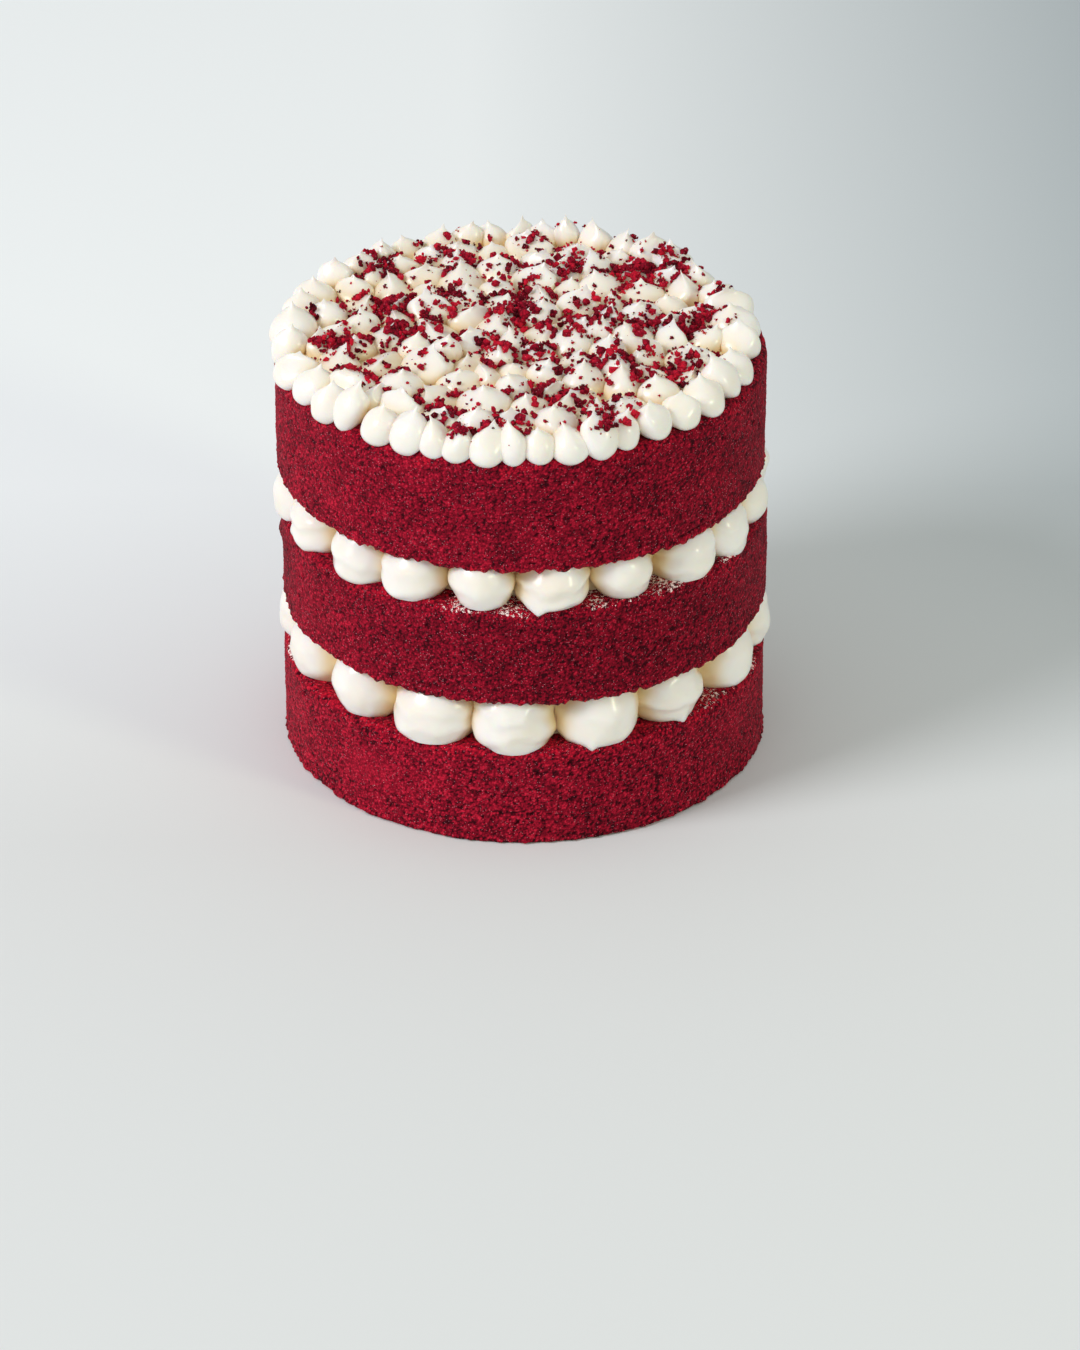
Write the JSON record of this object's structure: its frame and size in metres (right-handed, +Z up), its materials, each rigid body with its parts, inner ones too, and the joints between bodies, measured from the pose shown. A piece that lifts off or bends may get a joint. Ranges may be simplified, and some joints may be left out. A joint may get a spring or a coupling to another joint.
{
  "type": "naked cake",
  "caption": "Round naked layer cake: deep red sponge layers, fillings piped in large cream dollops, and a top piped all over with small cream kisses under crumbs.",
  "frame": {"origin": "middle of the lowest sponge layer's flat underside, on which the cake rests", "axes": "+Z up along the cake's axis, -Y towards the viewer of the picture, +X to that viewer's right"},
  "size_m": [0.2029, 0.2048, 0.1958],
  "materials": {
    "red_sponge": "matt, open crumb",
    "cream": "smooth, soft sheen"
  },
  "bodies": {
    "root": {"sponge_bottom": "red_sponge", "cream_lower": "cream", "sponge_middle": "red_sponge", "cream_upper": "cream", "sponge_top": "red_sponge", "piped_top": "cream"}
  },
  "joints": []
}
